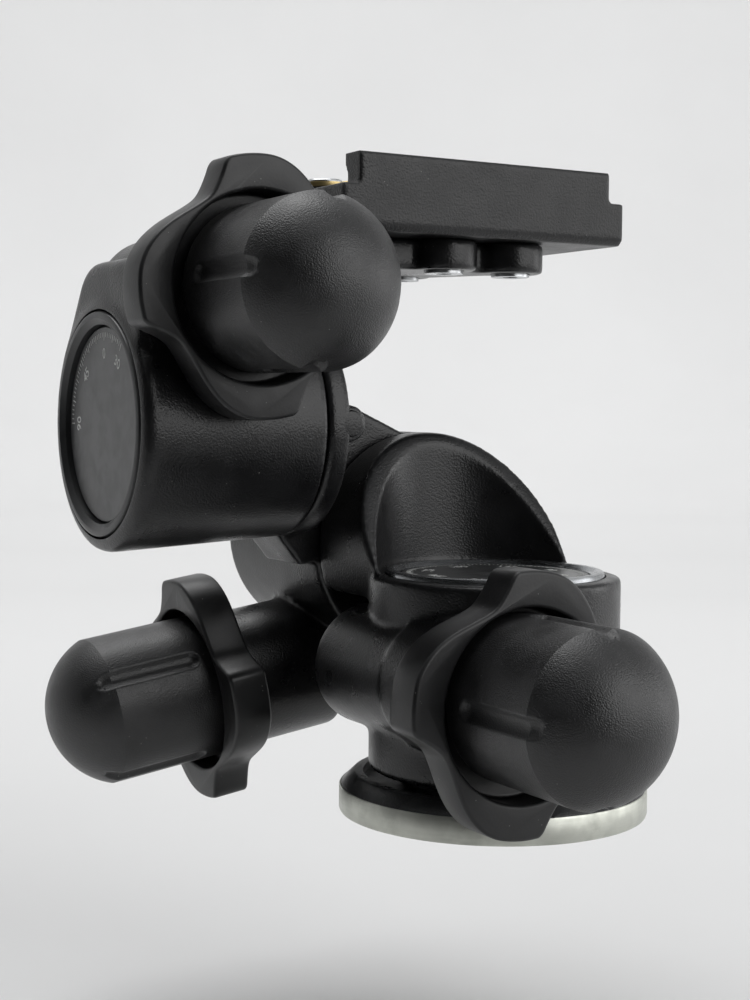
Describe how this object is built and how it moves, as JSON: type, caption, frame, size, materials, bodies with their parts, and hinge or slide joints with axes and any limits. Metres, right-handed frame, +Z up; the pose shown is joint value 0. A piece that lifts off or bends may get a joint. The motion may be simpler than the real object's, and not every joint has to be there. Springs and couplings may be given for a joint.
{
  "type": "geared tripod head",
  "caption": "Three-axis camera head for a tripod: worm-geared pan, tilt and side axes, each with a domed knob and a release ring, under a plate receiver.",
  "frame": {"origin": "centre of the base disc's seating face, at the mouth of the stand thread", "axes": "+Z up along the pan axis; tilt axis along Y, side axis along X; the pan knob points to -Y and the side dial to -X"},
  "size_m": [0.1094, 0.1434, 0.1306],
  "materials": {
    "cast_black": "satin powder coat with a fine grain",
    "release_black": "smooth satin",
    "knob_black": "grained",
    "dial_plate": "printed, low gloss",
    "dial_bevel": "turned bevel",
    "dial_rim": "dark satin",
    "bare_band": "turned, slightly dull",
    "steel": "turned",
    "bronze": "machined",
    "brass": "plain",
    "vial_fluid": "clear tinted"
  },
  "bodies": {
    "base": {"base_disc": "bare_band", "base_collar": "cast_black", "thread_insert": "steel", "base_screws": "steel", "pan_spindle": "steel", "pan_wheel": "bronze", "pan_dial": "dial_plate"},
    "pan_body": {"pan_housing": "cast_black", "pan_bushes": "bronze", "pan_dial_ring": "dial_bevel", "tilt_axle": "steel", "tilt_axle_screws": "steel", "tilt_wheel": "bronze", "tilt_dial": "dial_plate", "pan_spring": "steel"},
    "pan_release": {"pan_sleeve": "steel", "pan_release_ring": "release_black", "pan_ring_screws": "steel", "pan_worm_bushes": "bronze"},
    "pan_drive": {"pan_worm": "steel", "pan_knob": "knob_black", "pan_knob_insert": "brass"},
    "tilt_body": {"tilt_housing": "cast_black", "tilt_end_plate": "cast_black", "tilt_bushes": "bronze", "tilt_dial_ring": "dial_rim", "side_axle": "steel", "side_axle_screws": "steel", "side_wheel": "bronze", "side_dial": "dial_plate", "stop_pin": "cast_black", "tilt_spring": "steel"},
    "tilt_release": {"tilt_sleeve": "steel", "tilt_release_ring": "release_black", "tilt_ring_screws": "steel", "tilt_worm_bushes": "bronze"},
    "tilt_drive": {"tilt_worm": "steel", "tilt_knob": "knob_black", "tilt_knob_insert": "brass"},
    "camera_body": {"side_housing": "cast_black", "side_end_plate": "cast_black", "side_bushes": "bronze", "side_dial_ring": "dial_rim", "side_spring": "steel", "platform": "cast_black", "platform_screws": "steel", "level_vials": "vial_fluid", "lever_pivot": "steel"},
    "side_release": {"side_sleeve": "steel", "side_release_ring": "release_black", "side_ring_screws": "steel", "side_worm_bushes": "bronze"},
    "side_drive": {"side_worm": "steel", "side_knob": "knob_black", "side_knob_insert": "brass"},
    "clamp": {"clamp_lever": "release_black", "clamp_cam": "brass"},
    "catch": {"safety_catch": "brass"}
  },
  "joints": [
    {"name": "pan", "type": "hinge", "parent": "base", "child": "pan_body", "pos_m": [0, 0, 0.0283], "axis": [0, 0, 1], "continuous": true},
    {"name": "pan_ring_turn", "type": "hinge", "parent": "pan_body", "child": "pan_release", "pos_m": [-0.0174, -0.02, 0.0273], "axis": [0, -1, 0], "range_deg": [0, 35], "stiffness_Nm_per_rad": 0.08, "springref_deg": -28.65},
    {"name": "pan_knob_turn", "type": "hinge", "parent": "pan_release", "child": "pan_drive", "pos_m": [-0.0174, -0.02, 0.0283], "axis": [0, -1, 0], "continuous": true},
    {"name": "tilt", "type": "hinge", "parent": "pan_body", "child": "tilt_body", "pos_m": [0, 0.054, 0.05], "axis": [0, 1, 0], "range_deg": [-30, 90]},
    {"name": "tilt_ring_turn", "type": "hinge", "parent": "tilt_body", "child": "tilt_release", "pos_m": [-0.02578, 0.053, 0.02101], "axis": [-0.9877, 0, -0.1564], "range_deg": [0, 35], "stiffness_Nm_per_rad": 0.08, "springref_deg": -28.65},
    {"name": "tilt_knob_turn", "type": "hinge", "parent": "tilt_release", "child": "tilt_drive", "pos_m": [-0.02578, 0.054, 0.02101], "axis": [-0.9877, 0, -0.1564], "range_deg": [-1440, 4320]},
    {"name": "side", "type": "hinge", "parent": "tilt_body", "child": "camera_body", "pos_m": [-0.051, 0.028, 0.0745], "axis": [1, 0, 0], "range_deg": [-30, 55]},
    {"name": "side_ring_turn", "type": "hinge", "parent": "camera_body", "child": "side_release", "pos_m": [-0.052, 0.01, 0.0991], "axis": [0, -1, 0], "range_deg": [0, 35], "stiffness_Nm_per_rad": 0.08, "springref_deg": -28.65},
    {"name": "side_knob_turn", "type": "hinge", "parent": "side_release", "child": "side_drive", "pos_m": [-0.051, 0.01, 0.0991], "axis": [0, -1, 0], "range_deg": [-1440, 2640]},
    {"name": "clamp_swing", "type": "hinge", "parent": "camera_body", "child": "clamp", "pos_m": [-0.0204, 0.033, 0.1222], "axis": [0, 0, 1], "range_deg": [0, 70]},
    {"name": "catch_press", "type": "slide", "parent": "camera_body", "child": "catch", "axis": [0, 0, -1], "range_m": [0, 0.0016], "stiffness_N_per_m": 150, "springref_m": -0.001}
  ],
  "couplings": [
    {"joint": "pan_knob_turn", "follows": "pan", "ratio": 48},
    {"joint": "tilt_knob_turn", "follows": "tilt", "ratio": 48},
    {"joint": "side_knob_turn", "follows": "side", "ratio": 48}
  ]
}
